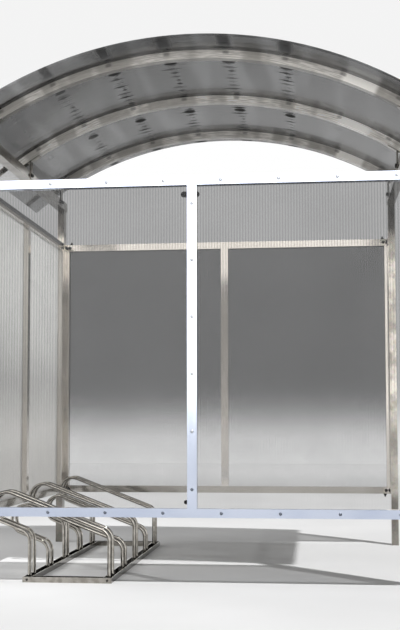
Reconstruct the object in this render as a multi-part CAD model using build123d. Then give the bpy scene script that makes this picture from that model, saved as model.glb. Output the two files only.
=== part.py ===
from build123d import *
from math import asin, cos, degrees, radians, sin, sqrt
import os

# An open bicycle shelter: four steel posts, two eaves beams, three arched ribs, a curved twin-wall
# roof, glazed frames on both sides and at the back, and a floor rack with five wheel places.
# X runs from the closed back (-X) to the open entrance (+X), Y from the left wall to the right
# wall as someone coming in sees them, Z up from the ground. Millimetres.

# Posts: rectangular tube standing on the ground
post_width = 40.0          # along X
post_depth = 60.0          # along Y
post_wall = 3.0
post_height = 2050.0
post_spread_x = 2032.0     # centre to centre, back to front
post_spread_y = 1656.0     # centre to centre, left to right
post_foot_plate = 5.0      # plate welded into the lower end

# Eaves beams: square tube lying on the posts
beam_width = 50.0
beam_height = 50.0
beam_wall = 3.0

# Roof arch: every curve shares one centre
rib_radius = 1850.0        # underside of the ribs
rib_seat_height = 59.6     # room over the beam's inner edge for the rib seat
rib_height = 40.0
rib_width = 40.0
rib_wall = 2.5
rib_spacing = 700.0
rib_past_beam = 30.0       # how far a rib runs past its beam
sheet_bed = 0.3            # bedding tape between the ribs and the sheets
sheet_thickness = 10.0
sheet_past_beam = 159.0    # how far the sheet's lower edge hangs past its beam
roof_length = 1806.0       # along Y
sheet_joint = 4.0          # room between the two sheets, under the middle cover strip
cover_width = 80.0
cover_thickness = 3.0

# Rib seats: folded plate between beam and rib
seat_plate = 4.0
seat_lap = 38.0            # down the beam's inner face
seat_flange = 45.0         # inwards under the rib

# Wall frames: aluminium profile with a groove for the panel
frame_face = 40.0
frame_depth = 40.0
frame_wall = 3.0
mullion_face = 44.0
panel_thickness = 10.0
panel_bite = 15.0          # depth of the groove that holds a panel's edge
panel_play = 2.0           # room for the panel's edge in the groove
side_frame_inset = 21.0    # how far a side frame stops short of the posts' outer sides
rail_low = 320.0           # height of the bottom rail's middle
top_rail_drop = 230.0      # from the posts' tops down to the top rail's middle

# Cleats that hold the side frames to the posts
cleat_leg = 45.0
cleat_height = 36.0
cleat_plate = 4.0

# Floor rack
rack_front_x = -390.0      # middle of the front channel
rack_back_x = -760.0       # middle of the back channel
rack_middle_y = -101.0
rack_pitch = 336.0
rack_places = 5
channel_width = 40.0
channel_height = 25.0
channel_wall = 3.0
rack_end_margin = 88.0     # from the outer wheel place to the end of the rack
hoop_tube = 17.0
hoop_tube_wall = 2.0
hoop_gap = 78.0            # between the middles of a pair's tubes
hoop_slope = 21.0          # degrees
hoop_turn_radius = 69.0
hoop_bend_radius = 58.0
high_hoop_leg = 224.0      # height of the front bend's corner
low_hoop_leg = 139.0
hoop_length = 482.0        # from the front leg back to the middle of the end turn

# Worked out from the sizes above
post_x = post_spread_x / 2
post_y = post_spread_y / 2
post_outer_y = post_y + post_depth / 2
post_inner_y = post_y - post_depth / 2
beam_inner_x = post_x - beam_width / 2
beam_outer_x = post_x + beam_width / 2
beam_length = 2 * post_outer_y
beam_top = post_height + beam_height
arch_centre_z = beam_top + rib_seat_height - sqrt(rib_radius ** 2 - beam_inner_x ** 2)
rib_crown = arch_centre_z + rib_radius
sheet_radius = rib_radius + rib_height + sheet_bed
cover_radius = sheet_radius + sheet_thickness
rib_end_angle = degrees(asin((beam_outer_x + rib_past_beam) / (rib_radius + rib_height / 2)))
sheet_end_angle = degrees(asin((beam_outer_x + sheet_past_beam) / sheet_radius))
groove_outer = frame_depth - frame_wall
groove_inner = groove_outer - panel_thickness
web_inner = groove_inner - frame_wall
rail_high = post_height - top_rail_drop
side_frame_length = post_spread_x + post_width - 2 * side_frame_inset
frame_height = rail_high - rail_low
upright_length = frame_height - frame_face

parts = {}


def placed(shape, x=0.0, y=0.0, z=0.0):
    return Pos(x, y, z) * shape


def box_from(low, high):
    # A solid box given by its two corners.
    size = [b - a for a, b in zip(low, high)]
    middle = [(a + b) / 2 for a, b in zip(low, high)]
    return Pos(*middle) * Box(*size)


def arch_sector(inner, outer, half_angle, width, y=0.0):
    # A curved bar about the arch centre: inner and outer radius, half angle from the crown, width along Y.
    crown = 90.0
    start = crown - half_angle
    sweep_angle = 2 * half_angle
    outer_arc = CenterArc((0, 0), outer, start, sweep_angle)
    inner_arc = CenterArc((0, 0), inner, start, sweep_angle)
    edges = outer_arc + inner_arc
    edges += Line(outer_arc @ 0, inner_arc @ 0)
    edges += Line(outer_arc @ 1, inner_arc @ 1)
    face = Plane.XZ * make_face(edges)
    solid = extrude(face, amount=width / 2, both=True)
    return placed(solid, y=y, z=arch_centre_z)


def make_post():
    # Open at the top, where the beam closes it.
    tube = Box(post_width, post_depth, post_height)
    bore = Box(post_width - 2 * post_wall, post_depth - 2 * post_wall, post_height)
    return placed(tube - placed(bore, z=post_foot_plate), z=post_height / 2)


def make_beam():
    # Square tube with both ends closed by a plate as thick as its wall.
    tube = Box(beam_width, beam_length, beam_height)
    bore = Box(beam_width - 2 * beam_wall, beam_length - 2 * beam_wall, beam_height - 2 * beam_wall)
    return placed(tube - bore, z=post_height + beam_height / 2)


def make_rib():
    # Curved square tube with both ends closed by a plate as thick as its wall.
    cap_angle = degrees(rib_wall / rib_radius)
    solid = arch_sector(rib_radius, rib_radius + rib_height, rib_end_angle, rib_width)
    bore = arch_sector(
        rib_radius + rib_wall,
        rib_radius + rib_height - rib_wall,
        rib_end_angle - cap_angle,
        rib_width - 2 * rib_wall,
    )
    return solid - bore


def make_rib_seat():
    # Wedge of folded plate on the front beam, with a leg down the beam's inner face and a
    # flange that follows the rib inwards.
    lap_x = beam_inner_x - seat_plate
    tall = rib_crown
    below = placed(Cylinder(rib_radius, rib_width, rotation=(90, 0, 0)), z=arch_centre_z)
    wedge = box_from((beam_inner_x, -rib_width / 2, beam_top), (beam_outer_x, rib_width / 2, tall)) & below
    roomy = placed(Cylinder(rib_radius - seat_plate, rib_width, rotation=(90, 0, 0)), z=arch_centre_z)
    hollow = box_from(
        (beam_inner_x + seat_plate, -rib_width / 2, beam_top + seat_plate),
        (beam_outer_x - seat_plate, rib_width / 2, tall),
    ) & roomy
    lap = box_from((lap_x, -rib_width / 2, beam_top - seat_lap), (beam_inner_x, rib_width / 2, tall)) & below
    flange_box = box_from((lap_x - seat_flange, -rib_width / 2, beam_top), (lap_x, rib_width / 2, tall))
    flange = (flange_box & below) - roomy
    return (wedge - hollow) + lap + flange


def frame_section(face, grooves):
    # Profile across a frame bar: X across the face, Y from the inner face (0) to the outer face.
    # grooves lists the sides, -1 or +1 along X, that hold a panel.
    chamber_depth = web_inner - frame_wall
    section = Pos(0, frame_depth / 2) * Rectangle(face, frame_depth)
    chamber = Rectangle(face - 2 * frame_wall, chamber_depth)
    section -= Pos(0, frame_wall + chamber_depth / 2) * chamber
    for side in grooves:
        groove = Rectangle(panel_bite, panel_thickness)
        section -= Pos(side * (face - panel_bite) / 2, groove_inner + panel_thickness / 2) * groove
    if len(grooves) == 1:
        back_width = face - panel_bite - 2 * frame_wall
        back_x = -grooves[0] * (face / 2 - frame_wall - back_width / 2)
        section -= Pos(back_x, groove_inner + panel_thickness / 2) * Rectangle(back_width, panel_thickness)
    return section


def upright_bar(face, grooves, length):
    # Standing bar: local X along the wall, Y outwards from the inner face, Z up from its foot.
    return extrude(frame_section(face, grooves), amount=length)


def rail_bar(groove_side, length):
    # Lying bar along local X, centred, with its groove up (+1) or down (-1).
    standing = extrude(frame_section(frame_face, [-groove_side]), amount=length)
    return Location((-length / 2, 0, 0), (0, 90, 0)) * standing


def wall_pieces(length):
    # One glazed frame in its own place: along X, inner face at Y = 0, ground at Z = 0.
    half = length / 2
    foot = rail_low + frame_face / 2
    bite = panel_bite - panel_play
    opening = half - frame_face - mullion_face / 2
    panel_width = opening + 2 * bite
    panel_height = upright_length + 2 * bite
    panel = Box(panel_width, panel_thickness, panel_height)
    panel_y = groove_inner + panel_thickness / 2
    panel_x = mullion_face / 2 + opening / 2
    jamb_x = half - frame_face / 2
    return {
        "top_rail": placed(rail_bar(-1, length), z=rail_high),
        "bottom_rail": placed(rail_bar(1, length), z=rail_low),
        "mullion": placed(upright_bar(mullion_face, [-1, 1], upright_length), z=foot),
        "jamb_minus": placed(upright_bar(frame_face, [1], upright_length), x=-jamb_x, z=foot),
        "jamb_plus": placed(upright_bar(frame_face, [-1], upright_length), x=jamb_x, z=foot),
        "panel_minus": placed(panel, x=-panel_x, y=panel_y, z=foot + upright_length / 2),
        "panel_plus": placed(panel, x=panel_x, y=panel_y, z=foot + upright_length / 2),
    }


def make_cleat():
    # Angle in the corner between a post's inner face and a side frame's inner face (front right one).
    corner_x = post_x - post_width / 2
    on_post = box_from(
        (corner_x - cleat_plate, post_outer_y - cleat_leg, -cleat_height / 2),
        (corner_x, post_outer_y, cleat_height / 2),
    )
    on_frame = box_from(
        (corner_x - cleat_leg, post_outer_y - cleat_plate, -cleat_height / 2),
        (corner_x, post_outer_y, cleat_height / 2),
    )
    return on_post + on_frame


def hoop_path(leg):
    # Middle line of one hoop, seen from the left: front leg, bend, slope up and back, half-round
    # end turn, slope down and forward, bend, back leg.
    slope = radians(hoop_slope)
    back_up = Vector(-cos(slope), 0, sin(slope))
    square_up = Vector(sin(slope), 0, cos(slope))
    front_corner = Vector(rack_front_x, 0, leg)
    upper_end = front_corner + back_up * ((hoop_length - hoop_turn_radius * square_up.X) / cos(slope))
    turn_middle = upper_end - square_up * hoop_turn_radius
    turn_tip = turn_middle + back_up * hoop_turn_radius
    lower_end = turn_middle - square_up * hoop_turn_radius
    back_corner = lower_end - back_up * ((rack_back_x - lower_end.X) / cos(slope))
    front_foot = Vector(rack_front_x, 0, channel_wall)
    back_foot = Vector(rack_back_x, 0, channel_wall)
    upper = FilletPolyline(front_foot, front_corner, upper_end, radius=hoop_bend_radius)
    turn = ThreePointArc(upper_end, turn_tip, lower_end)
    lower = FilletPolyline(lower_end, back_corner, back_foot, radius=hoop_bend_radius)
    return Wire(upper.edges() + turn.edges() + lower.edges())


def make_hoop(leg):
    path = hoop_path(leg)
    ring = Circle(hoop_tube / 2) - Circle(hoop_tube / 2 - hoop_tube_wall)
    return sweep(Plane(path @ 0, z_dir=path % 0) * ring, path=path)


# Posts and beams
for x_side, x_name in ((1, "front"), (-1, "back")):
    for y_side, y_name in ((-1, "left"), (1, "right")):
        parts[f"post_{x_name}_{y_name}"] = placed(make_post(), x_side * post_x, y_side * post_y)
    parts[f"eaves_beam_{x_name}"] = placed(make_beam(), x_side * post_x)

# Roof
for place, name in ((-1, "left"), (0, "middle"), (1, "right")):
    parts[f"roof_rib_{name}"] = placed(make_rib(), y=place * rib_spacing)
seats = []
for place in (-1, 0, 1):
    seat = placed(make_rib_seat(), y=place * rib_spacing)
    seats += [seat, mirror(seat, Plane.YZ)]
parts["rib_seats"] = Compound(children=seats)
sheet_width = (roof_length - sheet_joint) / 2
for side, name in ((-1, "left"), (1, "right")):
    parts[f"roof_sheet_{name}"] = arch_sector(
        sheet_radius,
        cover_radius,
        sheet_end_angle,
        sheet_width,
        y=side * (sheet_joint + sheet_width) / 2,
    )
parts["roof_cover_strips"] = Compound(children=[
    arch_sector(cover_radius, cover_radius + cover_thickness, sheet_end_angle, cover_width, y=place * rib_spacing)
    for place in (-1, 0, 1)
])

# Side walls stand against the posts' outer faces
side_ends = {"minus": "back", "plus": "front"}
for piece, solid in wall_pieces(side_frame_length).items():
    kind, _, end = piece.partition("_")
    label = f"{side_ends[end]}_{kind}" if end in side_ends else piece
    right = placed(solid, y=post_outer_y)
    parts[f"right_wall_{label}"] = right
    parts[f"left_wall_{label}"] = mirror(right, Plane.XZ)

# Back wall stands between the back posts
back_ends = {"minus": "left", "plus": "right"}
back_length = 2 * post_inner_y
back_place = Location((-post_x + frame_depth / 2, 0, 0), (0, 0, 90))
for piece, solid in wall_pieces(back_length).items():
    kind, _, end = piece.partition("_")
    label = f"{back_ends[end]}_{kind}" if end in back_ends else piece
    parts[f"back_wall_{label}"] = back_place * solid

# Cleats at the top and bottom of every post
cleats = []
for height in (rail_low, rail_high):
    corner = placed(make_cleat(), z=height)
    across = mirror(corner, Plane.XZ)
    cleats += [corner, across, mirror(corner, Plane.YZ), mirror(across, Plane.YZ)]
parts["wall_cleats"] = Compound(children=cleats)

# Rack: the long channels and the end channels lie open side up and meet in one frame
rack_half = (rack_places - 1) * rack_pitch / 2 + rack_end_margin
long_half = rack_half - channel_wall
for x, name in ((rack_front_x, "front"), (rack_back_x, "back")):
    outside = Box(channel_width, 2 * long_half, channel_height)
    inside = Box(channel_width - 2 * channel_wall, 2 * long_half, channel_height)
    channel = outside - placed(inside, z=channel_wall)
    parts[f"rack_{name}_channel"] = placed(channel, x, rack_middle_y, channel_height / 2)
rack_width = rack_front_x - rack_back_x + channel_width
rack_middle_x = (rack_front_x + rack_back_x) / 2
for side, name in ((-1, "left"), (1, "right")):
    plate_y = rack_half - channel_wall / 2
    plate = placed(Box(rack_width, channel_wall, channel_height), y=plate_y)
    trough_length = rack_width - 2 * channel_width
    trough = Box(trough_length, channel_width - channel_wall, channel_height)
    hollow = Box(trough_length, channel_width - 2 * channel_wall, channel_height)
    trough -= placed(hollow, y=channel_wall / 2, z=channel_wall)
    end = plate + placed(trough, y=rack_half - (channel_width + channel_wall) / 2)
    end = end if side > 0 else mirror(end, Plane.XZ)
    parts[f"rack_{name}_end_channel"] = placed(end, rack_middle_x, rack_middle_y, channel_height / 2)
for place in range(rack_places):
    hoop = make_hoop(low_hoop_leg if place % 2 else high_hoop_leg)
    middle = rack_middle_y + (place - (rack_places - 1) / 2) * rack_pitch
    pair = [placed(hoop, y=middle + side * hoop_gap / 2) for side in (-1, 1)]
    parts[f"rack_hoops_{place + 1}"] = Compound(children=pair)

os.makedirs("parts", exist_ok=True)
for name, shape in parts.items():
    export_step(shape, f"parts/{name}.step")
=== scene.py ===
import math
import bpy
from mathutils import Euler, Matrix, Vector


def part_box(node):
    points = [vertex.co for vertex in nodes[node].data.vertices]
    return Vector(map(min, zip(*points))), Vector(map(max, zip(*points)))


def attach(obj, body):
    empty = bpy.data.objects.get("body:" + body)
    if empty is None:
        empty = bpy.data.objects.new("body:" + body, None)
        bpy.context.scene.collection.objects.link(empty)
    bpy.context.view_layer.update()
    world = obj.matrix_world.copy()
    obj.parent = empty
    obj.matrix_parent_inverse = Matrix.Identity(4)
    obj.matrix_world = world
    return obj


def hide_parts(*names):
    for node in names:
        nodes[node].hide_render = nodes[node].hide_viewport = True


# An open bicycle shelter: galvanised steel posts, beams and ribs, aluminium wall frames with
# twin-wall polycarbonate, a curved roof of the same sheet and a tubular floor rack.
# Metres, Z up, X from the closed back to the open entrance.

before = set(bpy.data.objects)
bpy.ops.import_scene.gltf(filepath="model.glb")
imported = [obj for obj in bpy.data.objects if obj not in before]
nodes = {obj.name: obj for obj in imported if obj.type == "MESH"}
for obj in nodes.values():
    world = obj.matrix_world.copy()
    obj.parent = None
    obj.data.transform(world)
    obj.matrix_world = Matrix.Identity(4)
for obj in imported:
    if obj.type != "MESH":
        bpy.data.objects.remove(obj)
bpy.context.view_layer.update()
print("frame loaded,", len(nodes), "solids")

signs = (-1, 1)


def middleOf(node):
    low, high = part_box(node)
    return (low + high) / 2


# Materials. Two numbers in a material's dictionary are a range. Four are a range that something
# goes through, such as a height, and what the look takes at both its ends.

smooth = {"interpolation_type": "SMOOTHSTEP"}
ofColour = {"data_type": "RGBA"}


def linear(hexColour):
    values = [int(hexColour[i:i + 2], 16) / 255 for i in (1, 3, 5)]
    return [v / 12.92 if v <= 0.04045 else ((v + 0.055) / 1.055) ** 2.4 for v in values] + [1.0]


def addNode(tree, kind, inputs=(), **settings):
    # A shader node goes without its prefix. Inputs are a dictionary by socket or a list in the
    # sockets' order, and a node given as an input stands for its first output in use.
    node = tree.nodes.new(kind if "Node" in kind else "ShaderNode" + kind)
    for name, value in settings.items():
        setattr(node, name, value)
    for socket, value in inputs.items() if isinstance(inputs, dict) else enumerate(inputs):
        if isinstance(value, bpy.types.Node):
            value = next(output for output in value.outputs if output.enabled)
        if isinstance(value, bpy.types.NodeSocket):
            tree.links.new(value, node.inputs[socket])
        else:
            node.inputs[socket].default_value = value
    return node


def newMaterial(name):
    material = bpy.data.materials.new(name)
    material.use_nodes = True
    tree = material.node_tree
    tree.nodes.clear()
    return material, tree, addNode(tree, "TexCoord").outputs["Object"]


def surfaced(material, shader):
    addNode(material.node_tree, "OutputMaterial", {"Surface": shader})
    return material


def blend(tree, first, second, value, span):
    # From one colour to another while a value goes through a range.
    share = addNode(tree, "MapRange", [value, *span], **smooth)
    first, second = (linear(c) if isinstance(c, str) else c for c in (first, second))
    return addNode(tree, "Mix", {"Factor": share, "A": first, "B": second}, **ofColour)


def darkened(tree, colour, share):
    grey = addNode(tree, "CombineColor", [share] * 3)
    return addNode(
        tree, "Mix", {"Factor": 1.0, "A": colour, "B": grey}, blend_type="MULTIPLY", **ofColour,
    )


def faceDirection(tree):
    # X, Y and Z of the way a face looks.
    return addNode(tree, "SeparateXYZ", [addNode(tree, "NewGeometry").outputs["Normal"]]).outputs


def apart(tree, first, second):
    gap = addNode(tree, "Math", [first, second], operation="SUBTRACT")
    return addNode(tree, "Math", [gap], operation="ABSOLUTE")


def heldByBoth(tree, first, second):
    # Share of light that is lost where each of two things holds back a share.
    passes = [addNode(tree, "Math", [1.0, share], operation="SUBTRACT")
              for share in (first, second)]
    passed = addNode(tree, "Math", passes, operation="MULTIPLY")
    return addNode(tree, "Math", [1.0, passed], operation="SUBTRACT")


steel = {
    "pale": "#D8D3CA", "dark": "#A39E96", "blotches": (0.32, 0.68),
    "patch": 0.11,          # m across a blotch of the zinc coat
    "spangle": 0.012,       # m across a crystal
    "sparkle": 0.10,        # share of colour that differs from crystal to crystal
    "grain": 0.003125, "grainDepth": 0.0006, "grainShare": 0.08,
    "roughness": (0.3, 0.7, 0.16, 0.09),
    "postShadeFrom": (1.86, 1.90), "paintedShade": 0.42,    # painted shade: the steel is darkened above this height, in the roof's shadow
    "paintedShadeLow": (0.26, 0.33, 0.50, 1.0),       # and painted shade darkens the posts' feet
}


def hotDipGalvanisedSteel(name):
    # Zinc coat from a hot dip: warm grey metal with soft blotches and fine crystals, half glossy.
    material, tree, place = newMaterial(name)
    height = addNode(tree, "SeparateXYZ", [place]).outputs[2]
    patches = addNode(
        tree, "TexNoise",
        {"Vector": place, "Scale": 1 / steel["patch"], "Detail": 4.0, "Roughness": 0.6},
    )
    crystals = addNode(
        tree, "TexVoronoi", {"Vector": place, "Scale": 1 / steel["spangle"]},
    ).outputs["Color"]
    colour = blend(tree, steel["dark"], steel["pale"], patches, steel["blotches"])
    colour = addNode(
        tree, "Mix", {"Factor": steel["sparkle"], "A": colour, "B": crystals},
        blend_type="SOFT_LIGHT", **ofColour,
    )
    # Painted shade: the colour is darkened at the posts' feet and above the line of the roof's shadow.
    foot = addNode(tree, "MapRange", [height, *steel["paintedShadeLow"]], **smooth)
    shade = addNode(tree, "MapRange", [height, *steel["postShadeFrom"], foot, steel["paintedShade"]], **smooth)
    grain = addNode(tree, "TexNoise", {"Vector": place, "Scale": 1 / steel["grain"], "Detail": 2.0})
    return surfaced(material, addNode(tree, "BsdfPrincipled", {
        "Base Color": darkened(tree, colour, shade), "Metallic": 1.0,
        "Roughness": addNode(tree, "MapRange", [patches, *steel["roughness"]], **smooth),
        "Normal": addNode(tree, "Bump", {
            "Strength": steel["grainShare"], "Distance": steel["grainDepth"], "Height": grain,
        }),
    }))


aluminium = {
    "paintedSky": ("#D0D8E9", "#BFC9DE"), "warm": ("#E8E3DC", "#DAD5CD"),   # the left wall's copy carries a painted bluish sky reflection; the other copy is warm
    "cloud": 0.4, "clouds": (0.35, 0.65),      # m across a cloud of the finish
    "metallic": 0.9, "roughness": (0.2, 0.8, 0.11, 0.16),
    "draw": 0.004,          # m between draw lines; the real ones are too fine to show
    "drawLength": 0.5, "drawn": (0.3, 0.7, 0.0, 0.05), "drawColour": "#AAADB5",
    "paintedShadeLowTone": "#8F8D87", "paintedShadeLow": (0.30, 0.50, 0.55, 0.0),         # painted shade on the low rails, by height
    "railShadeTone": "#9A9185", "railShadeDeep": "#1F1E1C", "railShadeDeepFrom": (1.812, 1.820),    # painted shade on the back top rail
    "railShadedSide": (0.5, 0.8), "railShadeFrom": (1.70, 1.75),
}


def millFinishAluminium(name, axis, barTone):
    # Extruded and anodised: pale, glossy metal with faint draw lines along each bar.
    material, tree, place = newMaterial(name)
    height = addNode(tree, "SeparateXYZ", [place]).outputs[2]
    stretch = [1 / aluminium["draw"]] * 3
    stretch[axis] = 1 / aluminium["drawLength"]
    lines = addNode(tree, "TexNoise", {
        "Vector": addNode(tree, "Mapping", {"Vector": place, "Scale": stretch}),
        "Scale": 1.0, "Detail": 1.0,
    })
    clouds = addNode(
        tree, "TexNoise", {"Vector": place, "Scale": 1 / aluminium["cloud"], "Detail": 3.0},
    )
    # The left wall's copy carries a painted bluish sky reflection.
    pale, deep = aluminium[barTone]
    colour = blend(tree, deep, pale, clouds, aluminium["clouds"])
    colour = blend(tree, colour, aluminium["drawColour"], lines, aluminium["drawn"])
    if barTone == "warm" and axis < 2:           # painted shade darkens the low rails, for the shadowed floor they mirror
        colour = blend(tree, colour, aluminium["paintedShadeLowTone"], height, aluminium["paintedShadeLow"])
    if axis == 1:
        # Painted shade: the back top rail is darkened on its top and inner side, where the roof shades
        # it.
        outwards = faceDirection(tree)
        railShadedSide = addNode(tree, "Math", [outwards[0], outwards[2]], operation="MAXIMUM")
        share = addNode(
            tree, "Math",
            [
                addNode(tree, "MapRange", [railShadedSide, *aluminium["railShadedSide"]], **smooth),
                addNode(tree, "MapRange", [height, *aluminium["railShadeFrom"]], **smooth),
            ], operation="MULTIPLY",
        )
        railShadeColour = blend(tree, aluminium["railShadeTone"], aluminium["railShadeDeep"], height, aluminium["railShadeDeepFrom"])
        colour = addNode(tree, "Mix", {"Factor": share, "A": colour, "B": railShadeColour}, **ofColour)
    return surfaced(material, addNode(tree, "BsdfPrincipled", {
        "Base Color": colour, "Metallic": aluminium["metallic"],
        "Roughness": addNode(tree, "MapRange", [lines, *aluminium["roughness"]], **smooth),
    }))


plastic = {"ior": 1.58, "faceOn": 0.015}       # index, and the share of light mirrored face on


def edgeGloss(tree):
    # Schlick's rule for a matted plastic: little is mirrored face on, nearly all of it edge on.
    slant = addNode(tree, "LayerWeight", {"Blend": 0.5}).outputs["Facing"]
    steep = addNode(tree, "Math", [slant, 5.0], operation="POWER")
    return addNode(
        tree, "Math", [steep, 1 - plastic["faceOn"], plastic["faceOn"]], operation="MULTIPLY_ADD",
    )


wallSheet = {
    "tint": "#3C3E40", "roughness": 0.18, "specular": 0.15,
    "held": 0.385,          # share of light that one skin holds back high up
    "thinner": (0.60, 0.95, 0.26, 0.0), "foot": (0.38, 0.60, 0.045, 0.0),   # so much less low down
    "flute": 0.0128,        # m from web to web
    "web": 0.45,            # share of a flute over which a web darkens it
    "webs": (0.55, 1.05, 0.012, 0.08),         # dust evens the webs low down
    "opalWebs": (0.55, 1.05, 0.0036, 0.024),
    "mottleSize": 1 / 3, "mottle": (0.3, 0.7, -0.012, 0.012),
    "shadow": 0.42,         # the flutes scatter lamplight, so the sheet's shadow stays dark
    "opal": "#F8F8F6", "opalLow": "#C7C6C4", "opalHeights": (0.45, 1.35),   # greyer towards the bottom
    "milk": 0.80,           # share of light that an opal skin scatters
    "milkMottle": (0.2, 0.8, 0.9, 1.05),
}


def twinWallPolycarbonate(name, axis, opal=False):
    # Two skins joined by webs: smoke-grey and see-through, with fine upright lines and glossy
    # skins. An opal sheet also scatters the light that comes through it.
    material, tree, place = newMaterial(name)
    parts = addNode(tree, "SeparateXYZ", [place]).outputs
    mottle = addNode(tree, "TexNoise", {
        "Vector": place, "Scale": 1 / wallSheet["mottleSize"], "Detail": 5.0, "Roughness": 0.65,
    })
    held = wallSheet["held"]
    for less, curve in (("thinner", smooth), ("foot", {})):
        fall = addNode(tree, "MapRange", [parts[2], *wallSheet[less]], **curve)
        held = addNode(tree, "Math", [held, fall], operation="SUBTRACT")
    wave = addNode(tree, "Math", [parts[axis], wallSheet["flute"] / 2], operation="PINGPONG")
    web = addNode(
        tree, "MapRange", [wave, 0.0, wallSheet["flute"] * wallSheet["web"], 1.0, 0.0], **smooth,
    )
    webHeld = addNode(
        tree, "MapRange", [parts[2], *wallSheet["opalWebs" if opal else "webs"]], **smooth,
    )
    held = addNode(tree, "Math", [web, webHeld, held], operation="MULTIPLY_ADD")
    lampRay = addNode(tree, "LightPath").outputs["Is Shadow Ray"]
    shadow = addNode(tree, "Math", [lampRay, wallSheet["shadow"]], operation="MULTIPLY")
    held = addNode(tree, "Math", [held, shadow], operation="MAXIMUM")
    cloudHeld = addNode(tree, "MapRange", [mottle, *wallSheet["mottle"]], **smooth)
    held = addNode(tree, "Math", [held, cloudHeld], operation="ADD")
    smoke = addNode(tree, "BsdfPrincipled", {
        "Base Color": linear(wallSheet["tint"]), "Roughness": wallSheet["roughness"],
        "IOR": plastic["ior"], "Specular IOR Level": wallSheet["specular"],
        "Alpha": heldByBoth(tree, held, edgeGloss(tree)),
    })
    if not opal:
        return surfaced(material, smoke)
    film = blend(
        tree, wallSheet["opalLow"], wallSheet["opal"], parts[2], wallSheet["opalHeights"],
    )
    milk = addNode(tree, "BsdfTranslucent", {"Color": film})
    cloudMilk = addNode(tree, "MapRange", [mottle, *wallSheet["milkMottle"]], **smooth)
    share = addNode(tree, "Math", [cloudMilk, wallSheet["milk"]], operation="MULTIPLY")
    return surfaced(material, addNode(tree, "MixShader", [share, smoke, milk]))


roofSheet = {
    "radius": 1.890,        # m, outer side of the ribs
    "tints": ("#2C2D2E", "#56585A"),           # in the dull and the glinting facets
    "facets": (8.0, 0.8, 1.0), "glint": (0.45, 0.68), "glintHeld": -0.07,   # facets a metre
    "specular": 0.45, "roughness": 0.15, "dashRoughness": 0.7,
    "held": 0.71,           # share of light that one skin holds back
    "backHeld": (-0.75, -0.25, -0.065, 0.0),   # a little less towards the back
    "hood": (0.735, 0.80), "hoodHeld": 0.08,   # more of it past the outer ribs
    "hoodTurn": (-0.75, -0.20, -1.1, 1.0),     # and there less of it towards the back
    "lip": (-1.21, -1.11, 1.0, 0.0), "lipHeld": 0.25,       # paler past the back beam
    "flute": 0.046,         # m between drawn lines; the real webs are a quarter of that
    "fluteShare": 0.4, "fluteHeld": 0.07,
    "station": 0.285,       # m along the arch between the lines of fixings
    "rowPitch": 0.056,      # m along Y between the dashes of a line
    "jitter": 0.02,         # m over which a line's dashes are set back and forth
    "dashLengths": (0.012, 0.062), "dashHalf": 0.015,
    "dashEdge": (0.6, 1.25, 1.0, 0.0), "dashTones": (0.30, 1.0),
    "spots": ((-0.555, 0.036, 0.020), (0.245, 0.034, 0.032)),   # Y, half length, half width
    "spotEdge": (0.45, 1.2, 1.0, 0.0),
    "patch": (0.0144, 0.0468, 0.85, 0.0),      # painted shade patches on the hood, by the lines
    "backFade": (-1.14, -0.60, 0.05, 1.0), "frontFade": (0.48, 0.66, 1.0, 0.12),
    # colour of the painted shade in the dashes, spots and patches
    "dark": "#3E3E3E",
    "outer": (0.0, 0.3),    # rise of a face that counts as the outer side
    "dust": "#747577", "dustShare": 0.45,
    "outerGloss": 0.30, "outerRough": 0.55,    # the dusty side mirrors little
}
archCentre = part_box("roof_rib_middle")[1].z - roofSheet["radius"]


def archPlace(tree, place):
    # Metres along the arch, and X, Y and Z from the arch's centre.
    offset = addNode(tree, "VectorMath", [place, (0, 0, archCentre)], operation="SUBTRACT")
    parts = addNode(tree, "SeparateXYZ", [offset]).outputs
    angle = addNode(tree, "Math", [parts[0], parts[2]], operation="ARCTAN2")
    return addNode(tree, "Math", [angle, roofSheet["radius"]], operation="MULTIPLY"), parts


def fromStation(tree, arc):
    # Metres along the arch to the nearest line of fixings.
    half = roofSheet["station"] / 2
    turned = addNode(tree, "Math", [arc, half], operation="ADD")
    return addNode(tree, "Math", [turned, half], operation="PINGPONG")


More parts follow.
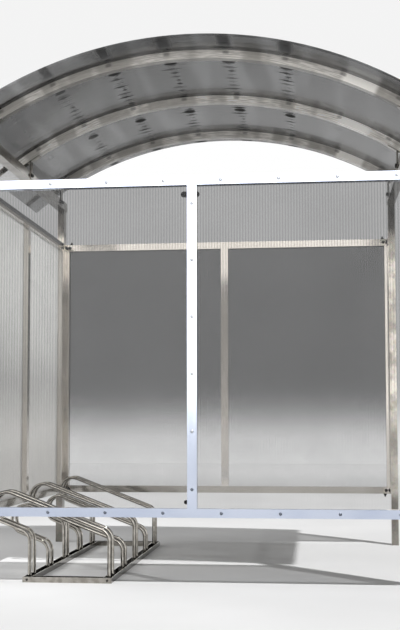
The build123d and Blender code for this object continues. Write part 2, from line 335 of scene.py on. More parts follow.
def paintedShadeDashes(tree, arc, along):
    # Painted shade: short dashes of random length across each line of fixings, larger spots beside the
    # ribs and patches on the hood.
    cell = addNode(tree, "CombineXYZ", [
        addNode(
            tree, "Math", [addNode(tree, "Math", [value, pitch], operation="DIVIDE")],
            operation="FLOOR",
        ) for value, pitch in ((along, roofSheet["rowPitch"]), (arc, roofSheet["station"]))
    ])
    chance = addNode(tree, "TexWhiteNoise", {"Vector": cell}, noise_dimensions="2D").outputs
    draw = addNode(tree, "SeparateXYZ", [chance["Color"]]).outputs
    back = addNode(tree, "Math", [arc, roofSheet["jitter"] / 2], operation="SUBTRACT")
    jittered = addNode(tree, "Math", [draw[0], roofSheet["jitter"], back], operation="MULTIPLY_ADD")
    length = addNode(tree, "MapRange", [chance["Value"], 0.0, 1.0, *roofSheet["dashLengths"]])
    offLine = addNode(tree, "Math", [fromStation(tree, jittered), length], operation="DIVIDE")
    half = roofSheet["rowPitch"] / 2
    offRow = addNode(tree, "Math", [along, half], operation="PINGPONG")
    offRow = addNode(tree, "Math", [half, offRow], operation="SUBTRACT")
    offRow = addNode(tree, "Math", [offRow, roofSheet["dashHalf"]], operation="DIVIDE")
    off = addNode(tree, "Math", [offLine, offRow], operation="ADD")
    dark = addNode(
        tree, "Math",
        [
            addNode(tree, "MapRange", [off, *roofSheet["dashEdge"]], **smooth),
            addNode(tree, "MapRange", [draw[1], 0.0, 1.0, *roofSheet["dashTones"]], **smooth),
        ], operation="MULTIPLY",
    )
    away = fromStation(tree, arc)
    for spotY, halfArc, halfY in roofSheet["spots"]:
        across = addNode(tree, "Math", [away, halfArc], operation="DIVIDE")
        down = addNode(tree, "Math", [along, spotY], operation="SUBTRACT")
        down = addNode(tree, "Math", [down, halfY], operation="DIVIDE")
        square = addNode(tree, "Math", [down, down], operation="MULTIPLY")
        square = addNode(tree, "Math", [across, across, square], operation="MULTIPLY_ADD")
        spot = addNode(tree, "MapRange", [square, *roofSheet["spotEdge"]], **smooth)
        dark = addNode(tree, "Math", [dark, spot], operation="MAXIMUM")
    edge = addNode(tree, "Math", [along], operation="ABSOLUTE")
    patch = addNode(
        tree, "Math",
        [
            addNode(tree, "MapRange", [away, *roofSheet["patch"]], **smooth),
            addNode(tree, "MapRange", [edge, *roofSheet["hood"]], **smooth),
        ], operation="MULTIPLY",
    )
    dark = addNode(tree, "Math", [dark, patch], operation="MAXIMUM")
    for fade in ("backFade", "frontFade"):     # the lines fade out down the slopes
        left = addNode(tree, "MapRange", [arc, *roofSheet[fade]], **smooth)
        dark = addNode(tree, "Math", [dark, left], operation="MULTIPLY")
    return dark


def archTwinWall(name):
    # Smoke twin-wall bent over the ribs: flutes run along the arch, and rows of dark dashes across the
    # lines of fixings are painted shade. The outer side is dusty.
    material, tree, place = newMaterial(name)
    arc, parts = archPlace(tree, place)
    along = parts[1]
    dark = paintedShadeDashes(tree, arc, along)
    upward = faceDirection(tree)[2]
    outer = addNode(tree, "MapRange", [upward, *roofSheet["outer"]], **smooth)
    facets = addNode(tree, "TexNoise", {
        "Vector": addNode(tree, "Mapping", {
            "Vector": addNode(tree, "CombineXYZ", [arc, along]), "Scale": roofSheet["facets"],
        }), "Scale": 1.0, "Detail": 1.0,
    })
    glint = addNode(tree, "MapRange", [facets, *roofSheet["glint"]], **smooth)
    deep, pale = (linear(colour) for colour in roofSheet["tints"])
    colour = addNode(tree, "Mix", {"Factor": glint, "A": deep, "B": pale}, **ofColour)
    dusty = (*roofSheet["outer"], 0.0, roofSheet["dustShare"])
    colour = blend(tree, colour, roofSheet["dust"], upward, dusty)
    colour = addNode(
        tree, "Mix", {"Factor": dark, "A": colour, "B": linear(roofSheet["dark"])}, **ofColour,
    )
    held = addNode(
        tree, "Math", [glint, roofSheet["glintHeld"], roofSheet["held"]], operation="MULTIPLY_ADD",
    )
    edge = addNode(tree, "Math", [along], operation="ABSOLUTE")
    hoodSpan = (*roofSheet["hood"], 0.0, roofSheet["hoodHeld"])
    hood = addNode(
        tree, "Math",
        [
            addNode(tree, "MapRange", [arc, *roofSheet["hoodTurn"]], **smooth),
            addNode(tree, "MapRange", [edge, *hoodSpan], **smooth),
        ], operation="MULTIPLY",
    )
    wave = addNode(tree, "Math", [along, roofSheet["flute"] / 2], operation="PINGPONG")
    reach = roofSheet["flute"] * roofSheet["fluteShare"]
    web = addNode(tree, "MapRange", [wave, 0.0, reach, roofSheet["fluteHeld"], 0.0], **smooth)
    back = addNode(tree, "MapRange", [arc, *roofSheet["backHeld"]], **smooth)
    for more in (back, hood, web):
        held = addNode(tree, "Math", [held, more], operation="ADD")
    lip = addNode(tree, "MapRange", [arc, *roofSheet["lip"]], **smooth)
    held = addNode(tree, "Mix", {"Factor": lip, "A": held, "B": roofSheet["lipHeld"]})
    held = addNode(tree, "Math", [held, dark], operation="MAXIMUM", use_clamp=True)
    shine = addNode(tree, "MapRange", [outer, 0.0, 1.0, 1.0, roofSheet["outerGloss"]])
    gloss = addNode(tree, "Math", [edgeGloss(tree), shine], operation="MULTIPLY")
    matt = addNode(tree, "Math", [dark, outer], operation="MAXIMUM")
    rough = addNode(
        tree, "Math",
        [
            addNode(
                tree, "MapRange",
                [dark, 0.0, 1.0, roofSheet["roughness"], roofSheet["dashRoughness"]],
            ),
            addNode(tree, "Math", [outer, roofSheet["outerRough"]], operation="MULTIPLY"),
        ], operation="MAXIMUM",
    )
    return surfaced(material, addNode(tree, "BsdfPrincipled", {
        "Base Color": colour, "Roughness": rough, "IOR": plastic["ior"],
        "Specular IOR Level": addNode(
            tree, "MapRange", [matt, 0.0, 1.0, roofSheet["specular"], 0.0],
        ),
        "Alpha": heldByBoth(tree, held, gloss),
    }))


ribFinish = {
    "pale": "#E8E5E0", "dark": "#B2AFAA", "worn": "#9B9893", "bright": "#FFFDF8",
    "metallic": 0.28,       # weathered zinc: most of its sheen has gone matt
    "roughness": (0.3, 0.7, 0.28, 0.40),
    # Bands lie 120 mm apart and streaks are 5 mm wide, so many a metre along the arch, along Y
    # and outwards.
    "bandScale": (1 / 0.12, 1.5, 3.0), "bands": (0.42, 0.58),
    "streakScale": (12.0, 1 / 0.005, 1 / 0.005), "streaks": (0.38, 0.62, 0.0, 0.65),
    # painted highlight: a near-white band across the ribs over part of the arch
    "highlightFrom": (0.70, 0.73), "highlightTo": (0.87, 0.90, 1.0, 0.0),
    "fixing": "#272727", "fixingRadius": 1.879,
    "fixingAlong": (0.006, 0.022, 0.5, 0.0), "fixingAcross": (0.004, 0.012, 1.0, 0.0),
    "underside": (-0.75, -0.45, 0.50, 1.0),    # painted shade: undersides are darkened
    "middleRibLight": (0.03, 0.10, 1.45, 1.0),     # painted light: the middle rib is brightened
}


def rolledArchSteel(name):
    # Galvanised tube bent on rollers: soft bands across and fine streaks along each rib.
    material, tree, place = newMaterial(name)
    arc, parts = archPlace(tree, place)
    spoke = addNode(tree, "CombineXYZ", {"X": parts[0], "Z": parts[2]})
    radius = addNode(tree, "VectorMath", [spoke], operation="LENGTH")
    spread = addNode(tree, "CombineXYZ", [arc, parts[1], radius])

    def noiseOver(scale, detail):
        return addNode(tree, "TexNoise", {
            "Vector": addNode(tree, "Mapping", {"Vector": spread, "Scale": scale}),
            "Scale": 1.0, "Detail": detail,
        })

    bands = noiseOver(ribFinish["bandScale"], 1.0)
    streaks = noiseOver(ribFinish["streakScale"], 2.0)
    colour = blend(tree, ribFinish["dark"], ribFinish["pale"], bands, ribFinish["bands"])
    colour = blend(tree, colour, ribFinish["worn"], streaks, ribFinish["streaks"])
    # Painted highlight: the ribs turn near-white over part of the arch.
    bright = addNode(
        tree, "Math",
        [
            addNode(tree, "MapRange", [arc, *ribFinish["highlightFrom"]], **smooth),
            addNode(tree, "MapRange", [arc, *ribFinish["highlightTo"]], **smooth),
        ], operation="MULTIPLY",
    )
    colour = addNode(
        tree, "Mix", {"Factor": bright, "A": colour, "B": linear(ribFinish["bright"])}, **ofColour,
    )
    offFixing = apart(tree, radius, ribFinish["fixingRadius"])
    fixing = addNode(
        tree, "Math",
        [
            addNode(
                tree, "MapRange", [fromStation(tree, arc), *ribFinish["fixingAlong"]], **smooth,
            ),
            addNode(tree, "MapRange", [offFixing, *ribFinish["fixingAcross"]], **smooth),
        ], operation="MULTIPLY",
    )
    colour = addNode(
        tree, "Mix", {"Factor": fixing, "A": colour, "B": linear(ribFinish["fixing"])}, **ofColour,
    )
    offMiddle = addNode(tree, "Math", [parts[1]], operation="ABSOLUTE")
    # Painted shade on the undersides and painted light on the middle rib.
    shade = addNode(
        tree, "Math",
        [
            addNode(tree, "MapRange", [faceDirection(tree)[2], *ribFinish["underside"]], **smooth),
            addNode(tree, "MapRange", [offMiddle, *ribFinish["middleRibLight"]], **smooth),
        ], operation="MULTIPLY",
    )
    return surfaced(material, addNode(tree, "BsdfPrincipled", {
        "Base Color": darkened(tree, colour, shade), "Metallic": ribFinish["metallic"],
        "Roughness": addNode(tree, "MapRange", [streaks, *ribFinish["roughness"]], **smooth),
    }))


rackFinish = {
    "pale": "#CBC7BF", "dark": "#ABA69E", "blotch": 1 / 34, "blotches": (0.35, 0.65),
    "roughness": (0.3, 0.7, 0.18, 0.10),
    # painted reflection lines along the hoop tubes
    "reflectionLine": "#1C1B19", "reflectionLineTurn": 0.06, "reflectionLineStep": 0.125,   # shares of the way round a tube
    "reflectionLineShare": (0.02, 0.055, 0.95, 0.0),
    # painted darker reflection on the channels' flanks and painted shade in their troughs
    "flankShade": "#55524D", "longFlankShade": (0.5, 0.8, 0.0, 0.9), "endFlankShade": (0.5, 0.8, 0.0, 0.35),
    "troughShade": "#070706", "troughShadeShare": 0.97,
    "troughHalf": 0.0173,   # m, half the width inside a channel
    "endWall": 0.0032,      # m of wall at the ends of the rack
}


def channelPaintedShade(tree, place, colour):
    # Painted shade: black in the troughs of the floor channels, and a painted darker reflection on
    # their flanks.
    parts = addNode(tree, "SeparateXYZ", [place]).outputs
    left, right = middleOf("rack_left_end_channel"), middleOf("rack_right_end_channel")
    middle = (left + right) / 2
    longX = middleOf("rack_front_channel").x - middle.x
    endY = right.y - middle.y
    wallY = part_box("rack_right_end_channel")[1].y - middle.y - rackFinish["endWall"]
    across = apart(tree, parts[0], middle.x)
    end = apart(tree, parts[1], middle.y)
    troughs = []
    for off, over, limit in ((apart(tree, across, longX), end, wallY),
                             (apart(tree, end, endY), across, longX)):
        tests = [addNode(tree, "Math", [value, most], operation="LESS_THAN")
                 for value, most in ((off, rackFinish["troughHalf"]), (over, limit))]
        troughs.append(addNode(tree, "Math", tests, operation="MULTIPLY"))
    inside = addNode(tree, "Math", troughs, operation="MAXIMUM")
    flankShades = []
    for side, share in zip(faceDirection(tree), ("longFlankShade", "endFlankShade")):
        size = addNode(tree, "Math", [side], operation="ABSOLUTE")
        flankShades.append(addNode(tree, "MapRange", [size, *rackFinish[share]], **smooth))
    flankShade = addNode(tree, "Math", flankShades, operation="MAXIMUM")
    shadeInTroughs = addNode(tree, "Math", [inside, rackFinish["troughShadeShare"]], operation="MULTIPLY")
    for share, tone in ((flankShade, "flankShade"), (shadeInTroughs, "troughShade")):
        colour = addNode(
            tree, "Mix", {"Factor": share, "A": colour, "B": linear(rackFinish[tone])}, **ofColour,
        )
    return colour


def tubeReflectionLines(tree, colour):
    # Painted reflection: fine dark lines along a tube.
    around = addNode(tree, "Attribute", attribute_name="around").outputs["Fac"]
    turned = addNode(tree, "Math", [around, rackFinish["reflectionLineTurn"]], operation="ADD")
    off = addNode(tree, "Math", [turned, rackFinish["reflectionLineStep"]], operation="PINGPONG")
    return blend(tree, colour, rackFinish["reflectionLine"], off, rackFinish["reflectionLineShare"])


def polishedRackSteel(name, tube=False):
    # Bright zinc on the rack: glossy, with small soft blotches.
    material, tree, place = newMaterial(name)
    patches = addNode(
        tree, "TexNoise", {"Vector": place, "Scale": 1 / rackFinish["blotch"], "Detail": 3.0},
    )
    colour = blend(tree, rackFinish["dark"], rackFinish["pale"], patches, rackFinish["blotches"])
    return surfaced(material, addNode(tree, "BsdfPrincipled", {
        "Base Color": tubeReflectionLines(tree, colour) if tube else channelPaintedShade(tree, place, colour),
        "Metallic": 1.0,
        "Roughness": addNode(tree, "MapRange", [patches, *rackFinish["roughness"]], **smooth),
    }))


fixingFinish = {
    "oxide": ("#2B2A29", "#5A5753"), "wear": (0.45, 0.75), "wearScale": 180.0,
    # painted light on the high screws and painted shade on the low ones
    "bright": ("#A4A8AF", "#D2D5DA"), "paintedShade": ("#565C66", "#858C98"),
    "marks": (0.4, 0.7), "markScale": 900.0,
}


def blackOxideSteel(name):
    # Bolts and washers that stay dark: oiled black oxide, dull sheen.
    material, tree, place = newMaterial(name)
    wear = addNode(tree, "TexNoise", {"Vector": place, "Scale": fixingFinish["wearScale"]})
    return surfaced(material, addNode(tree, "BsdfPrincipled", {
        "Base Color": blend(tree, *fixingFinish["oxide"], wear, fixingFinish["wear"]),
        "Metallic": 0.8, "Roughness": 0.45,
    }))


def zincPlatedSteel(name, tones):
    # Small screws: zinc plate, faintly blue, with turned marks; in a painted-light and a painted-shade
    # copy, the darker one near the ground.
    material, tree, place = newMaterial(name)
    marks = addNode(tree, "TexNoise", {"Vector": place, "Scale": fixingFinish["markScale"]})
    return surfaced(material, addNode(tree, "BsdfPrincipled", {
        "Base Color": blend(tree, *fixingFinish[tones], marks, fixingFinish["marks"]),
        "Metallic": 0.9, "Roughness": 0.35,
    }))


postSteel = hotDipGalvanisedSteel("hot-dip galvanised post steel")
ribSteel = rolledArchSteel("rolled galvanised rib steel")
rackSteel = polishedRackSteel("bright zinc rack steel")
tubeSteel = polishedRackSteel("bright zinc tube steel", tube=True)
barMaterials = {
    barTone: [millFinishAluminium(f"mill-finish aluminium {barTone} {'XYZ'[axis]}", axis, barTone)
            for axis in range(3)]
    for barTone in ("paintedSky", "warm")
}
sideSheet = twinWallPolycarbonate("twin-wall polycarbonate side", 0)
backSheet = twinWallPolycarbonate("twin-wall polycarbonate opal", 1, opal=True)
archSheet = archTwinWall("twin-wall polycarbonate arch")
darkSteel = blackOxideSteel("black oxide steel")
brightZinc = zincPlatedSteel("zinc plated steel", "bright")
paintedShadeZinc = zincPlatedSteel("dull zinc plated steel", "paintedShade")
print("materials made")


def finishFor(name):
    if name.startswith("roof_sheet"):
        return archSheet
    if name.startswith("roof_cover"):
        return barMaterials["warm"][0]
    if "_panel" in name:
        return backSheet if name.startswith("back") else sideSheet
    # The left wall's bars take the copy with the painted sky reflection.
    bars = barMaterials["paintedSky" if name.startswith("left") else "warm"]
    if "_rail" in name:
        return bars[1 if name.startswith("back") else 0]
    if "_jamb" in name or "_mullion" in name:
        return bars[2]
    if name.startswith("rack"):
        return rackSteel
    if name.startswith("roof_rib"):
        return ribSteel
    return postSteel


for name, solid in nodes.items():
    if not solid.material_slots:
        solid.data.materials.append(None)
    for materialSlot in solid.material_slots:
        materialSlot.material = finishFor(name)
print("solids dressed")

# Geometry Nodes and mesh helpers


def linked(name, data):
    piece = bpy.data.objects.new(name, data)
    bpy.context.scene.collection.objects.link(piece)
    return piece


def meshOf(name, vertices, faces=()):
    mesh = bpy.data.meshes.new(name)
    mesh.from_pydata(vertices, [], faces)
    mesh.update()
    return mesh


def newTree(name, sockets):
    tree = bpy.data.node_groups.new(name, "GeometryNodeTree")
    tree.interface.new_socket("Geometry", in_out="INPUT", socket_type="NodeSocketGeometry")
    for label, kind in sockets.items():
        tree.interface.new_socket(label, in_out="INPUT", socket_type="NodeSocket" + kind)
    tree.interface.new_socket("Geometry", in_out="OUTPUT", socket_type="NodeSocketGeometry")
    return tree, addNode(tree, "NodeGroupInput").outputs


def finished(tree, geometry, finish):
    # Ends a tree: smooth shading, real geometry, one material.
    for kind in ("SetShadeSmooth", "RealizeInstances"):
        geometry = addNode(tree, "GeometryNode" + kind, {"Geometry": geometry})
    geometry = addNode(
        tree, "GeometryNodeSetMaterial", {"Geometry": geometry, "Material": finish},
    )
    addNode(tree, "NodeGroupOutput", {"Geometry": geometry})
    return tree


def grow(name, data, tree, values):
    # Runs a tree on some data and leaves a plain mesh object.
    source = linked(name + "Source", data)
    modifier = source.modifiers.new("grow", "NODES")
    modifier.node_group = tree
    for item in tree.interface.items_tree:
        if item.item_type == "SOCKET" and item.in_out == "INPUT" and item.name in values:
            modifier[item.identifier] = values[item.name]
    graph = bpy.context.evaluated_depsgraph_get()
    mesh = bpy.data.meshes.new_from_object(source.evaluated_get(graph), depsgraph=graph)
    bpy.data.objects.remove(source)
    return linked(name, mesh)


# Rack hoops: pairs of bent tube

hoops = {
    "tube": 0.0085,         # m, radius
    "gap": 0.078,           # m between the two loops of a place
    "slope": math.radians(21), "reach": 0.482, "highLeg": 0.224, "lowLeg": 0.139, "foot": 0.003,
    "places": 5,
    "turn": 0.069, "bend": 0.058,              # m, radii of the half-round end and the bends
    "bendSteps": 10, "sides": 20,
    "frontX": middleOf("rack_front_channel").x, "backX": middleOf("rack_back_channel").x,
}


def hoopTree():
    # Rounds the corners of a polyline and sweeps the tube along it.
    tree, given = newTree("bent tube", {
        "Tube radius": "Float", "Bend radius": "Float", "Steps": "Int", "Sides": "Int",
        "Finish": "Material",
    })
    rounded = addNode(tree, "GeometryNodeFilletCurve", {
        "Curve": given["Geometry"], "Count": given["Steps"], "Radius": given["Bend radius"],
        "Limit Radius": True,
    }, mode="POLY")
    ring = addNode(tree, "GeometryNodeCurvePrimitiveCircle", {
        "Resolution": given["Sides"], "Radius": given["Tube radius"],
    })
    marked = addNode(tree, "GeometryNodeStoreNamedAttribute", {
        "Geometry": ring, "Name": "around",
        "Value": addNode(tree, "GeometryNodeSplineParameter").outputs["Factor"],
    }, data_type="FLOAT", domain="POINT")
    tube = addNode(tree, "GeometryNodeCurveToMesh", {
        "Curve": rounded, "Profile Curve": marked, "Fill Caps": True,
    })
    return finished(tree, tube, given["Finish"])


def hoopPoints(leg, y):
    # One loop: its legs' corners, and points round its end turn.
    back = Vector((-math.cos(hoops["slope"]), 0, math.sin(hoops["slope"])))
    up = Vector((math.sin(hoops["slope"]), 0, math.cos(hoops["slope"])))
    front = Vector((hoops["frontX"], 0, leg))
    run = (hoops["reach"] - hoops["turn"] * up.x) / math.cos(hoops["slope"])
    upperEnd = front + back * run
    lowerEnd = upperEnd - up * 2 * hoops["turn"]
    heel = lowerEnd - back * ((hoops["backX"] - lowerEnd.x) / math.cos(hoops["slope"]))
    middle = upperEnd - up * hoops["turn"]
    route = [Vector((hoops["frontX"], 0, hoops["foot"])), front]
    for step in range(hoops["bendSteps"] * 2 + 1):
        angle = math.pi * step / (hoops["bendSteps"] * 2)
        route.append(middle + (up * math.cos(angle) + back * math.sin(angle)) * hoops["turn"])
    route += [heel, Vector((hoops["backX"], 0, hoops["foot"]))]
    return [point + Vector((0, y, 0)) for point in route]


bentTube = hoopTree()
for place in range(hoops["places"]):
    node = f"rack_hoops_{place + 1}"
    curve = bpy.data.curves.new(f"hoopLine{place + 1}", "CURVE")
    curve.dimensions = "3D"
    for side in signs:
        route = hoopPoints(hoops["lowLeg"] if place % 2 else hoops["highLeg"],
                           middleOf(node).y + side * hoops["gap"] / 2)
        spline = curve.splines.new("POLY")
        spline.points.add(len(route) - 1)
        for point, position in zip(spline.points, route):
            point.co = (*position, 1.0)
    piece = grow(f"rackHoops{place + 1}", curve, bentTube, {
        "Tube radius": hoops["tube"], "Bend radius": hoops["bend"], "Steps": hoops["bendSteps"],
        "Sides": hoops["sides"], "Finish": tubeSteel,
    })
    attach(piece, "root")
    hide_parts(node)
print("rack hoops made")

# Fasteners: turned shapes from (radius, height) pairs, set out on the frame

fastenerShapes = {
    "panHead": (10, (
        (0.0, 0.0), (0.0076, 0.0), (0.0076, 0.0006), (0.0056, 0.0008), (0.004816, 0.0022),
        (0.00168, 0.0022), (0.0, 0.00099),
    )),
    "hexBolt": (6, (
        (0.0, 0.0), (0.0105, 0.0), (0.0105, 0.0016), (0.0084, 0.0018), (0.0084, 0.0072),
        (0.0074, 0.0080), (0.0, 0.0080),
    )),
    "smallBolt": (10, (
        (0.0, 0.0), (0.0055, 0.0), (0.0055, 0.0030), (0.0046, 0.0038), (0.0, 0.0038),
    )),
    "stud": (12, (
        (0.0, 0.0), (0.0105, 0.0), (0.0105, 0.0016), (0.0090, 0.0018), (0.0090, 0.0090),
        (0.0050, 0.0096), (0.0050, 0.0180), (0.0, 0.0190),
    )),
}
fastenerTurn = 6.28         # rad, range of a fastener's random turn about its axis


def lathe(name, sides, profile):
    # A closed turned shape.
    rings = []
    vertices = []
    faces = []
    for radius, height in profile:
        if not radius:
            rings.append([len(vertices)])
            vertices.append((0, 0, height))
            continue
        rings.append(range(len(vertices), len(vertices) + sides))
        for step in range(sides):
            angle = 2 * math.pi * step / sides
            vertices.append((radius * math.cos(angle), radius * math.sin(angle), height))
    for lower, upper in zip(rings, rings[1:]):
        for step in range(sides):
            after = (step + 1) % sides
            corners = [lower[step % len(lower)], lower[after % len(lower)],
                       upper[after % len(upper)], upper[step % len(upper)]]
            faces.append(list(dict.fromkeys(corners)))
    part = linked(name, meshOf(name, vertices, faces))
    part.hide_render = True
    return part


def fastenerTree():
    # Puts one fastener at each point, its axis along the point's "facing", turned at random.
    tree, given = newTree("fasteners", {
        "Fastener": "Object", "Seed": "Int", "Finish": "Material",
    })
    aim = addNode(tree, "FunctionNodeAlignRotationToVector", {"Vector": addNode(
        tree, "GeometryNodeInputNamedAttribute", {"Name": "facing"}, data_type="FLOAT_VECTOR",
    )}, axis="Z")
    turn = addNode(
        tree, "FunctionNodeRandomValue", {2: 0.0, 3: fastenerTurn, "Seed": given["Seed"]},
        data_type="FLOAT",
    )
    spin = addNode(tree, "FunctionNodeAxisAngleToRotation", {"Axis": (0, 0, 1), "Angle": turn})
    placed = addNode(tree, "GeometryNodeInstanceOnPoints", {
        "Points": given["Geometry"],
        "Instance": addNode(
            tree, "GeometryNodeObjectInfo", {"Object": given["Fastener"]},
        ).outputs["Geometry"],
        "Rotation": addNode(
            tree, "FunctionNodeRotateRotation", {"Rotation": aim, "Rotate By": spin},
            rotation_space="LOCAL",
        ),
    })
    return finished(tree, placed, given["Finish"])


fasteners = fastenerTree()
shapes = {name: lathe(name, *shape) for name, shape in fastenerShapes.items()}


def fasten(name, shape, spots, finish, seed=1):
    # Spots are (place, facing) pairs.
    mesh = meshOf(name + "Points", [place for place, facing in spots])
    attribute = mesh.attributes.new("facing", "FLOAT_VECTOR", "POINT")
    for index, (place, facing) in enumerate(spots):
        attribute.data[index].vector = facing
    piece = grow(
        name, mesh, fasteners, {"Fastener": shapes[shape], "Seed": seed, "Finish": finish},
    )
    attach(piece, "root")
    print(name, len(spots), "fasteners,", len(piece.data.polygons), "faces")


wallScrews = {
    "railPitch": 0.262, "uprightPitch": 0.258,
    "onSide": 4, "onBack": 3, "onUpright": 3,  # screws each way from a bar's middle
}
railHeights = [middleOf(f"left_wall_{rail}_rail").z for rail in ("bottom", "top")]
middleHeight = sum(railHeights) / 2


def screwRow(pitch, count):
    return [pitch * (step + 0.5) for step in range(count)]


def wallScrewSpots():
    uprights = [middleHeight + sign * step for sign in signs
                for step in screwRow(wallScrews["uprightPitch"], wallScrews["onUpright"])]
    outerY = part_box("right_wall_top_rail")[1].y
    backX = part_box("back_wall_top_rail")[0].x
    jambX, jambY = middleOf("right_wall_front_jamb").x, middleOf("back_wall_right_jamb").y
    spots = []
    for side in signs:
        for z in railHeights:
            for x in screwRow(wallScrews["railPitch"], wallScrews["onSide"]):
                spots += [((sign * x, side * outerY, z), (0, side, 0)) for sign in signs]
        for x in (-jambX, 0.0, jambX):
            spots += [((x, side * outerY, z), (0, side, 0)) for z in uprights]
    for z in railHeights:
        for y in screwRow(wallScrews["railPitch"], wallScrews["onBack"]):
            spots += [((backX, sign * y, z), (-1, 0, 0)) for sign in signs]
    for y in (-jambY, 0.0, jambY):
        spots += [((backX, y, z), (-1, 0, 0)) for z in uprights]
    return spots


wallSpots = wallScrewSpots()
# High screws take the painted-light copy, low screws the painted-shade copy.
highScrews = [spot for spot in wallSpots if spot[0][2] > middleHeight / 2]
lowScrews = [spot for spot in wallSpots if spot[0][2] < middleHeight / 2]
fasten("wallScrewsHigh", "panHead", highScrews, brightZinc)
fasten("wallScrewsLow", "panHead", lowScrews, paintedShadeZinc)

boltPlaces = {
    "studX": 0.965,
    "coverRadius": 1.9033,  # m from the arch's centre to the outer side of the cover strips
    "coverRows": 4,         # each way from the crown
    "seatX": 0.987, "seatZ": 2.081, "seatStep": 0.0105,
    "cleatX": 0.992, "cleatY": 0.834, "legX": 0.970, "legY": 0.854,
}
railY = middleOf("right_wall_top_rail").y
studHeights = ((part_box("left_wall_top_rail")[1].z, 1), (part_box("left_wall_bottom_rail")[0].z, -1))
ribPlaces = [middleOf(f"roof_rib_{side}").y for side in ("left", "middle", "right")]
rackEnds = ((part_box("rack_left_end_channel")[0].y, -1), (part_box("rack_right_end_channel")[1].y, 1))
channels = [middleOf(f"rack_{side}_channel") for side in ("front", "back")]


def coverSpot(arc, y):
    angle = arc / roofSheet["radius"]
    normal = Vector((math.sin(angle), 0, math.cos(angle)))
    return Vector((0, y, archCentre)) + normal * boltPlaces["coverRadius"], normal


studSpots = [((sx * boltPlaces["studX"], sy * railY, z), (0, 0, up))
             for sx in signs for sy in signs for z, up in studHeights]
rackSpots = [((channel.x, y, channel.z), (0, side, 0))
             for channel in channels for y, side in rackEnds]
coverArcs = screwRow(roofSheet["station"], boltPlaces["coverRows"])
coverSpots = [coverSpot(side * arc, y) for y in ribPlaces for arc in coverArcs for side in signs]
seatSpots = [((side * boltPlaces["seatX"], y + step * boltPlaces["seatStep"], boltPlaces["seatZ"]),
              (-side, 0, 0)) for side in signs for y in ribPlaces for step in signs]
cleatSpots = []
for sx in signs:
    for sy in signs:
        for z in railHeights:
            onPost = (sx * boltPlaces["cleatX"], sy * boltPlaces["cleatY"], z)
            onFrame = (sx * boltPlaces["legX"], sy * boltPlaces["legY"], z)
            cleatSpots += [(onPost, (-sx, 0, 0)), (onFrame, (0, -sy, 0))]
fasten("wallStuds", "stud", studSpots, darkSteel, 2)
fasten("rackBolts", "smallBolt", rackSpots, darkSteel, 3)
fasten("coverScrews", "panHead", coverSpots, brightZinc, 5)
fasten("seatBolts", "hexBolt", seatSpots, darkSteel, 6)
fasten("cleatBolts", "hexBolt", cleatSpots, darkSteel, 7)
for shape in shapes.values():
    bpy.data.objects.remove(shape)

# Dark tie plate behind the left wall's mullion, and the small clip at its foot

tiePlates = {
    "plate": {"middle": (-0.012, -0.858, 1.765), "length": 0.086, "height": 0.027, "thick": 0.005},
    "clip": {"middle": (-0.021, -0.858, 0.366), "length": 0.040, "height": 0.020, "thick": 0.006},
}
tieRim = {"steps": 24, "levels": ((1.0, 0.0), (1.0, 0.7), (0.9, 1.0))}   # share of size, of depth


def tiePlate(name, sizes):
    # Rounded plate standing off the wall's inner side, with a soft rim.
    x, y, z = sizes["middle"]
    radius = sizes["height"] / 2
    straight = sizes["length"] / 2 - radius
    count = tieRim["steps"]
    corners = []
    for step in range(count):
        angle = 2 * math.pi * (step + 0.5) / count
        side = straight if math.cos(angle) > 0 else -straight
        corners.append((side + radius * math.cos(angle), radius * math.sin(angle)))
    vertices = [(x + size * u, y + depth * sizes["thick"], z + size * v)
                for size, depth in tieRim["levels"] for u, v in corners]
    faces = [list(range(count)), list(range(3 * count - 1, 2 * count - 1, -1))]
    for low in (0, count):
        for step in range(count):
            after = (step + 1) % count
            faces.append([low + after, low + step, low + count + step, low + count + after])
    piece = linked(name, meshOf(name, vertices, faces))
    piece.data.materials.append(darkSteel)
    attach(piece, "root")


for name, sizes in tiePlates.items():
    tiePlate(name + "Tie", sizes)
print("tie plates made")

# Floor, light and camera

studio = {
    "floorHalf": 14.0, "floor": ("#E1E1E1", "#E6E6E6"), "mottleSize": 5 / 6, "mottle": (0.3, 0.7),
    "white": "#FCFCFC", "whiter": (6.5, 11.0),   # by Y, so that floor and backdrop meet softly
    "lamplight": 0.22,      # strength of the world as a lamp
    "backdrop": (0.270, 0.315, 1.0, 0.90),       # its seen strength, by the sine of the height
}


def studioPaint(name):
    # Painted studio floor: matt, near white, keeps a soft shadow.
    material, tree, place = newMaterial(name)
    mottle = addNode(tree, "TexNoise", {"Vector": place, "Scale": 1 / studio["mottleSize"]})
    colour = blend(tree, *studio["floor"], mottle, studio["mottle"])
    farSide = addNode(tree, "SeparateXYZ", [place]).outputs[1]
    return surfaced(material, addNode(tree, "BsdfPrincipled", {
        "Base Color": blend(tree, colour, studio["white"], farSide, studio["whiter"]),
        "Roughness": 0.9, "Specular IOR Level": 0.1,
    }))


half = studio["floorHalf"]
floor = linked("floor", meshOf(
    "floor", [(-half, -half, 0), (half, -half, 0), (half, half, 0), (-half, half, 0)],
    [(0, 1, 2, 3)],
))
floor.data.materials.append(studioPaint("matt white studio floor"))

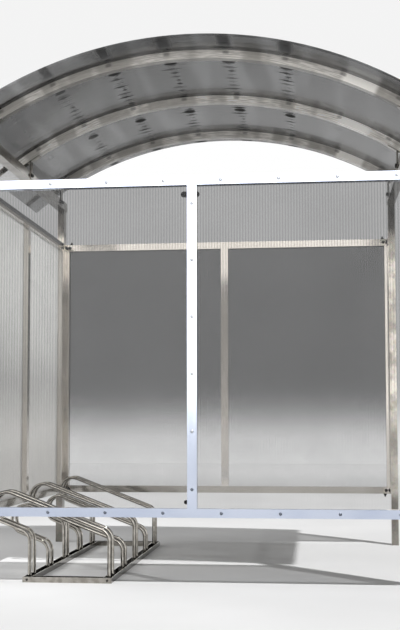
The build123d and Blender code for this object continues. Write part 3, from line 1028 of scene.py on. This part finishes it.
world = bpy.data.worlds.new("studio")
bpy.context.scene.world = world
world.use_nodes = True
skyTree = world.node_tree
skyTree.nodes.clear()
rays = addNode(skyTree, "LightPath").outputs
seen = rays["Is Camera Ray"]
for ray in ("Is Glossy Ray", "Is Transmission Ray"):
    seen = addNode(skyTree, "Math", [seen, rays[ray]], operation="MAXIMUM")
skyward = addNode(
    skyTree, "SeparateXYZ", [addNode(skyTree, "TexCoord").outputs["Generated"]],
).outputs[2]
backdrop = addNode(skyTree, "MapRange", [skyward, *studio["backdrop"]], **smooth)
strength = addNode(skyTree, "MapRange", [seen, 0.0, 1.0, studio["lamplight"], backdrop])
sky = addNode(skyTree, "Background", {"Color": (1, 1, 1, 1), "Strength": strength})
addNode(skyTree, "OutputWorld", {"Surface": sky})

lamps = {
    "front": {"at": (-0.8, -9.0, 2.6), "aim": (-0.8, 0, 2.6), "size": (6.6, 3.3), "power": 160,
              "colour": "#FFFCF8", "mirrored": True, "spread": 180},
    "backLeft": {"at": (-4.0, 0.3, 2.1), "aim": (-1.0, 0.2, 1.4), "size": (2.6, 1.6), "power": 36,
                 "colour": "#FFFFFF", "mirrored": False, "spread": 90},
}
for name, lamp in lamps.items():
    light = bpy.data.lights.new(name, "AREA")
    light.shape = "RECTANGLE"
    light.size, light.size_y = lamp["size"]
    light.energy = lamp["power"]
    light.color = linear(lamp["colour"])[:3]
    light.spread = math.radians(lamp["spread"])
    holder = linked(name, light)
    holder.location = lamp["at"]
    aim = Vector(lamp["aim"]) - Vector(lamp["at"])
    holder.rotation_euler = aim.to_track_quat("-Z", "Y").to_euler()
    holder.visible_camera = False
    holder.visible_glossy = lamp["mirrored"]

keyLamp = {"travel": (-0.372, 0.375, -1.0), "strength": 2.6, "angle": math.radians(1.1)}
sun = bpy.data.lights.new("key", "SUN")
sun.energy = keyLamp["strength"]
sun.angle = keyLamp["angle"]
sunHolder = linked("key", sun)
sunHolder.rotation_euler = Vector(keyLamp["travel"]).to_track_quat("-Z", "Y").to_euler()

view = {
    "at": (0.544, -5.6156, 0.7122), "up": 0.0621, "left": 0.1071, "roll": -0.0013,
    "lens": 60.571, "sensor": 36.0, "shiftY": 0.0700,
}
lensData = bpy.data.cameras.new("camera")
lensData.lens = view["lens"]
lensData.sensor_width = view["sensor"]
lensData.shift_y = view["shiftY"]
camera = linked("camera", lensData)
turned = Euler((math.pi / 2 + view["up"], 0, view["left"])).to_matrix()
turned = turned @ Matrix.Rotation(view["roll"], 3, "Z")
camera.matrix_world = Matrix.Translation(view["at"]) @ turned.to_4x4()
bpy.context.scene.camera = camera
bpy.context.scene.view_settings.view_transform = "Standard"
print("floor, lamps and camera set")
